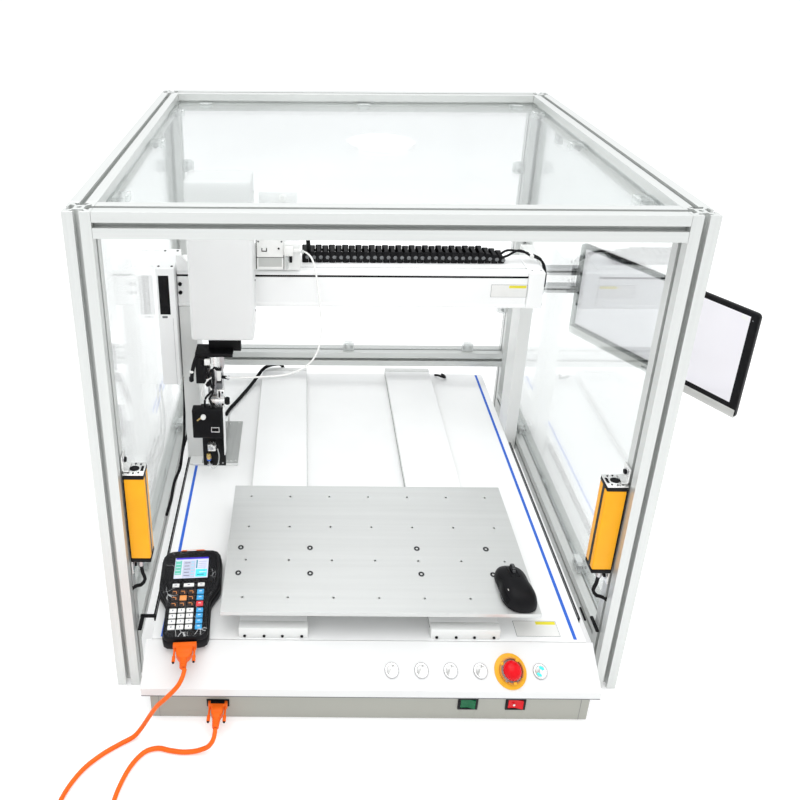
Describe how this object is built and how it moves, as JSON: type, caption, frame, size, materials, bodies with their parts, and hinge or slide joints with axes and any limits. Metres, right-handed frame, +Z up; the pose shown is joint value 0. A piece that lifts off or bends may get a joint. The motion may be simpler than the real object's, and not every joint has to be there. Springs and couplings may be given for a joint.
{
  "type": "gantry soldering robot",
  "caption": "Desktop soldering robot with a sliding jig table, gantry head and hand controller inside an open-front profile enclosure.",
  "frame": {"origin": "centre of the footprint on the table, measured without the controller cord and its two plugs", "axes": "+X from the head's home side towards the monitor, +Y from the open front to the back, +Z up"},
  "size_m": [1.3376, 1.1627, 0.917],
  "materials": {
    "anodised": "pale anodised extrusion",
    "clear": "clear polished sheet",
    "white_paint": "smooth white powder coat",
    "white_aluminium": "white powder coat on aluminium",
    "plate": "fine brushed aluminium",
    "steel": "brushed",
    "button_metal": "bright steel",
    "black_metal": "black satin coat",
    "black_plastic": "fine textured moulding",
    "red_plastic": "gloss moulding",
    "green_plastic": "gloss moulding",
    "yellow_paint": "satin coat",
    "orange_rubber": "satin moulded sleeve",
    "tube_plastic": "smooth translucent white tube"
  },
  "bodies": {
    "root": {"post_front_left": "anodised", "post_front_right": "anodised", "post_rear_left": "anodised", "post_rear_right": "anodised", "rail_top_front": "anodised", "rail_top_rear": "anodised", "rail_top_left": "anodised", "rail_top_right": "anodised", "rail_lower_left": "anodised", "rail_lower_right": "anodised", "rail_lower_rear": "anodised", "panel_roof": "clear", "panel_left": "clear", "panel_right": "clear", "panel_rear": "clear", "base_chassis": "white_paint", "base_cover": "white_paint", "control_panel": "white_paint", "x_drive_housing": "white_paint", "y_module_left": "white_aluminium", "y_module_right": "white_aluminium", "column_left": "white_aluminium", "column_right": "white_aluminium", "x_beam": "white_aluminium", "x_end_cap": "white_aluminium", "monitor_bracket": "steel", "cable_chain": "black_plastic", "pendant_body": "black_plastic", "light_curtain_left": "yellow_paint", "light_curtain_right": "yellow_paint", "pendant_plug": "orange_rubber", "port_plug": "orange_rubber", "cord_port_side": "orange_rubber", "cord_pendant_side": "orange_rubber", "cord_coil": "orange_rubber"},
    "y_table": {"y_carriage_left": "steel", "y_carriage_right": "steel", "jig_plate": "plate", "mouse_shell": "black_plastic"},
    "mouse_wheel": {"mouse_wheel": "black_plastic"},
    "x_carriage": {"x_carriage": "white_aluminium", "z_cover": "white_paint", "valve_block": "white_paint", "feed_tube": "tube_plastic"},
    "z_screw": {"z_screw": "steel"},
    "z_slide": {"z_slide": "black_metal", "r_motor": "black_metal"},
    "head": {"r_bracket": "steel", "head_plate": "black_metal", "soldering_iron": "steel"},
    "button_home": {"button_home": "button_metal"},
    "button_program": {"button_program": "button_metal"},
    "button_pause": {"button_pause": "button_metal"},
    "button_reset": {"button_reset": "button_metal"},
    "button_start": {"button_start": "button_metal"},
    "estop": {"estop_mushroom": "red_plastic"},
    "rocker_power": {"rocker_power": "green_plastic"},
    "rocker_light": {"rocker_light": "red_plastic"},
    "monitor_arm": {"monitor_arm": "steel"},
    "monitor": {"monitor": "black_plastic"}
  },
  "joints": [
    {"name": "y_travel", "type": "slide", "parent": "root", "child": "y_table", "axis": [0, 1, 0], "range_m": [0, 0.4]},
    {"name": "x_travel", "type": "slide", "parent": "root", "child": "x_carriage", "axis": [1, 0, 0], "range_m": [0, 0.42]},
    {"name": "z_travel", "type": "slide", "parent": "x_carriage", "child": "z_slide", "axis": [0, 0, 1], "range_m": [-0.018, 0.08], "deforming": ["feed_tube"]},
    {"name": "z_screw_turn", "type": "hinge", "parent": "x_carriage", "child": "z_screw", "pos_m": [-0.47544, 0.0645, 0.655], "axis": [0, 0, 1], "range_deg": [-660, 2900]},
    {"name": "r_turn", "type": "hinge", "parent": "z_slide", "child": "head", "pos_m": [-0.49694, 0.033, 0.42], "axis": [0, 0, 1], "range_deg": [-90, 90]},
    {"name": "button_home_press", "type": "slide", "parent": "root", "child": "button_home", "axis": [0, 0.5516, -0.8341], "range_m": [0, 0.0025], "stiffness_N_per_m": 600, "springref_m": -0.001},
    {"name": "button_program_press", "type": "slide", "parent": "root", "child": "button_program", "axis": [0, 0.5516, -0.8341], "range_m": [0, 0.0025], "stiffness_N_per_m": 600, "springref_m": -0.001},
    {"name": "button_pause_press", "type": "slide", "parent": "root", "child": "button_pause", "axis": [0, 0.5516, -0.8341], "range_m": [0, 0.0025], "stiffness_N_per_m": 600, "springref_m": -0.001},
    {"name": "button_reset_press", "type": "slide", "parent": "root", "child": "button_reset", "axis": [0, 0.5516, -0.8341], "range_m": [0, 0.0025], "stiffness_N_per_m": 600, "springref_m": -0.001},
    {"name": "button_start_press", "type": "slide", "parent": "root", "child": "button_start", "axis": [0, 0.5516, -0.8341], "range_m": [0, 0.0025], "stiffness_N_per_m": 600, "springref_m": -0.001},
    {"name": "estop_press", "type": "slide", "parent": "root", "child": "estop", "axis": [0, 0.5516, -0.8341], "range_m": [0, 0.006]},
    {"name": "rocker_power_tilt", "type": "hinge", "parent": "root", "child": "rocker_power", "pos_m": [-0.02294, -0.4442, 0.0392], "axis": [0, 0, 1], "range_deg": [0, 12]},
    {"name": "rocker_light_tilt", "type": "hinge", "parent": "root", "child": "rocker_light", "pos_m": [0.05906, -0.4442, 0.0392], "axis": [0, 0, 1], "range_deg": [0, 12]},
    {"name": "monitor_swivel", "type": "hinge", "parent": "root", "child": "monitor_arm", "pos_m": [0.51306, 0.413, 0.435], "axis": [0, 0, 1], "range_deg": [0, 45]},
    {"name": "monitor_tilt", "type": "hinge", "parent": "monitor_arm", "child": "monitor", "pos_m": [0.54258, 0.22381, 0.422], "axis": [0.5373, -0.8434, 0], "range_deg": [-12, 12]},
    {"name": "mouse_wheel_turn", "type": "hinge", "parent": "y_table", "child": "mouse_wheel", "pos_m": [0.06956, -0.313, 0.2035], "axis": [1, 0, 0], "continuous": true}
  ],
  "couplings": [
    {"joint": "z_screw_turn", "follows": "z_travel", "rad_per_m": 628.32}
  ]
}
